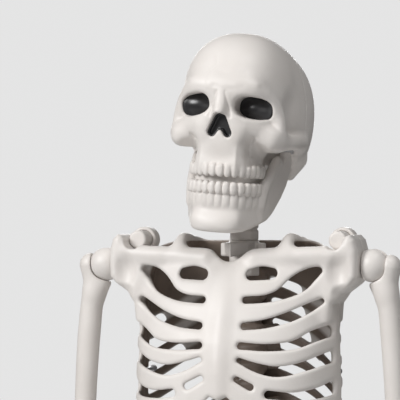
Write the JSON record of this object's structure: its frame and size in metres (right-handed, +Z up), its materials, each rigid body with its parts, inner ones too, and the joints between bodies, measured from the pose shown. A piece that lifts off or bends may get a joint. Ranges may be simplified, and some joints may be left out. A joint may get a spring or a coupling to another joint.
{
  "type": "halloween skeleton figure",
  "caption": "Full-height posable plastic skeleton decoration with hinged jaw, swivel neck, jointed arms, waist and legs, and a small hanging ring behind the crown.",
  "frame": {"origin": "on the floor under the middle of the figure, midway between the feet", "axes": "+Z up from soles to crown, the face looks along -Y, the figure's own left side is on +X"},
  "size_m": [0.4236, 0.2007, 1.5247],
  "materials": {
    "bone_plastic": "satin moulded off-white plastic",
    "black_plastic": "gloss black plastic",
    "steel": "plain zinc-plated steel"
  },
  "bodies": {
    "skull": {"skull_face": "bone_plastic", "skull_back": "bone_plastic", "left_eye_cup": "black_plastic", "right_eye_cup": "black_plastic", "nose_insert": "black_plastic", "jaw_pins": "steel", "ring_staple": "steel"},
    "jaw": {"jaw": "bone_plastic"},
    "hang_ring": {"hang_ring": "steel"},
    "neck_ball": {"neck_ball": "bone_plastic", "neck_pin": "steel"},
    "neck_post": {"neck_post": "bone_plastic", "neck_screw": "steel"},
    "torso": {"rib_front": "bone_plastic", "rib_back": "bone_plastic", "neck_base": "bone_plastic", "shoulder_pegs": "bone_plastic", "torso_screws": "steel", "lumbar_spine": "bone_plastic"},
    "pelvis": {"pelvis_front": "bone_plastic", "pelvis_back": "bone_plastic", "pelvis_screws": "steel"},
    "left_shoulder": {"left_shoulder_knuckle": "bone_plastic", "left_shoulder_screw": "steel", "left_shoulder_pin": "steel"},
    "left_upper_arm": {"left_humerus": "bone_plastic", "left_elbow_pin": "steel"},
    "left_lower_arm": {"left_forearm": "bone_plastic"},
    "left_wrist": {"left_wrist_fork": "bone_plastic", "left_wrist_pin": "steel"},
    "left_hand": {"left_hand": "bone_plastic"},
    "left_hip": {"left_hip_knuckle": "bone_plastic", "left_hip_screw": "steel", "left_hip_pin": "steel"},
    "left_thigh": {"left_femur": "bone_plastic", "left_knee_pin": "steel"},
    "left_lower_leg": {"left_shank": "bone_plastic"},
    "left_foot": {"left_foot": "bone_plastic", "left_ankle_pin": "steel"},
    "right_shoulder": {"right_shoulder_knuckle": "bone_plastic", "right_shoulder_screw": "steel", "right_shoulder_pin": "steel"},
    "right_upper_arm": {"right_humerus": "bone_plastic", "right_elbow_pin": "steel"},
    "right_lower_arm": {"right_forearm": "bone_plastic"},
    "right_wrist": {"right_wrist_fork": "bone_plastic", "right_wrist_pin": "steel"},
    "right_hand": {"right_hand": "bone_plastic"},
    "right_hip": {"right_hip_knuckle": "bone_plastic", "right_hip_screw": "steel", "right_hip_pin": "steel"},
    "right_thigh": {"right_femur": "bone_plastic", "right_knee_pin": "steel"},
    "right_lower_leg": {"right_shank": "bone_plastic"},
    "right_foot": {"right_foot": "bone_plastic", "right_ankle_pin": "steel"}
  },
  "joints": [
    {"name": "jaw_open", "type": "hinge", "parent": "skull", "child": "jaw", "pos_m": [0.00126, 0.006, 1.40795], "axis": [0.9969, 0, -0.0785], "range_deg": [-2, 12]},
    {"name": "ring_flip", "type": "hinge", "parent": "skull", "child": "hang_ring", "pos_m": [0.00934, 0.069, 1.51063], "axis": [0.9969, 0, -0.0785], "range_deg": [0, 125]},
    {"name": "head_nod", "type": "hinge", "parent": "skull", "child": "neck_ball", "pos_m": [0, 0.018, 1.392], "axis": [0.9969, 0, -0.0785], "range_deg": [-1.5, 20]},
    {"name": "head_tilt", "type": "hinge", "parent": "neck_ball", "child": "neck_post", "pos_m": [0, 0.018, 1.392], "axis": [0, 1, 0], "range_deg": [-4, 4]},
    {"name": "head_turn", "type": "hinge", "parent": "neck_post", "child": "torso", "pos_m": [0, 0.018, 1.311], "axis": [0, 0, 1], "range_deg": [-55, 55]},
    {"name": "waist_twist", "type": "hinge", "parent": "torso", "child": "pelvis", "pos_m": [0, 0.04, 0.996], "axis": [0, 0, 1], "range_deg": [-40, 40]},
    {"name": "left_shoulder_swing", "type": "hinge", "parent": "torso", "child": "left_shoulder", "pos_m": [0.143, -0.002, 1.287], "axis": [-1, 0, 0], "range_deg": [-60, 170]},
    {"name": "left_shoulder_raise", "type": "hinge", "parent": "left_shoulder", "child": "left_upper_arm", "pos_m": [0.143, -0.002, 1.287], "axis": [0, -1, 0], "range_deg": [0, 85]},
    {"name": "left_elbow", "type": "hinge", "parent": "left_upper_arm", "child": "left_lower_arm", "pos_m": [0.172, -0.002, 1.003], "axis": [-1, 0, 0], "range_deg": [-15, 95]},
    {"name": "left_wrist_turn", "type": "hinge", "parent": "left_lower_arm", "child": "left_wrist", "pos_m": [0.18, -0.06229, 0.79346], "axis": [0, 0.2588, 0.9659], "range_deg": [-90, 90]},
    {"name": "left_wrist_bend", "type": "hinge", "parent": "left_wrist", "child": "left_hand", "pos_m": [0.18, -0.06229, 0.79346], "axis": [1, 0, 0], "range_deg": [-50, 50]},
    {"name": "left_hip_swing", "type": "hinge", "parent": "pelvis", "child": "left_hip", "pos_m": [0.092, 0.008, 0.858], "axis": [-1, 0, 0], "range_deg": [-25, 90]},
    {"name": "left_hip_spread", "type": "hinge", "parent": "left_hip", "child": "left_thigh", "pos_m": [0.092, 0.008, 0.858], "axis": [0, -1, 0], "range_deg": [0, 35]},
    {"name": "left_knee", "type": "hinge", "parent": "left_thigh", "child": "left_lower_leg", "pos_m": [0.076, 0.002, 0.455], "axis": [1, 0, 0], "range_deg": [0, 110]},
    {"name": "left_ankle", "type": "hinge", "parent": "left_lower_leg", "child": "left_foot", "pos_m": [0.07, 0.026, 0.068], "axis": [-1, 0, 0], "range_deg": [-35, 25]},
    {"name": "right_shoulder_swing", "type": "hinge", "parent": "torso", "child": "right_shoulder", "pos_m": [-0.143, -0.002, 1.287], "axis": [-1, 0, 0], "range_deg": [-60, 170]},
    {"name": "right_shoulder_raise", "type": "hinge", "parent": "right_shoulder", "child": "right_upper_arm", "pos_m": [-0.143, -0.002, 1.287], "axis": [0, 1, 0], "range_deg": [0, 85]},
    {"name": "right_elbow", "type": "hinge", "parent": "right_upper_arm", "child": "right_lower_arm", "pos_m": [-0.172, -0.002, 1.003], "axis": [-1, 0, 0], "range_deg": [-15, 95]},
    {"name": "right_wrist_turn", "type": "hinge", "parent": "right_lower_arm", "child": "right_wrist", "pos_m": [-0.18, -0.06229, 0.79346], "axis": [0, -0.2588, -0.9659], "range_deg": [-90, 90]},
    {"name": "right_wrist_bend", "type": "hinge", "parent": "right_wrist", "child": "right_hand", "pos_m": [-0.18, -0.06229, 0.79346], "axis": [1, 0, 0], "range_deg": [-50, 50]},
    {"name": "right_hip_swing", "type": "hinge", "parent": "pelvis", "child": "right_hip", "pos_m": [-0.092, 0.008, 0.858], "axis": [-1, 0, 0], "range_deg": [-25, 90]},
    {"name": "right_hip_spread", "type": "hinge", "parent": "right_hip", "child": "right_thigh", "pos_m": [-0.092, 0.008, 0.858], "axis": [0, 1, 0], "range_deg": [0, 35]},
    {"name": "right_knee", "type": "hinge", "parent": "right_thigh", "child": "right_lower_leg", "pos_m": [-0.076, 0.002, 0.455], "axis": [1, 0, 0], "range_deg": [0, 110]},
    {"name": "right_ankle", "type": "hinge", "parent": "right_lower_leg", "child": "right_foot", "pos_m": [-0.07, 0.026, 0.068], "axis": [-1, 0, 0], "range_deg": [-35, 25]}
  ]
}
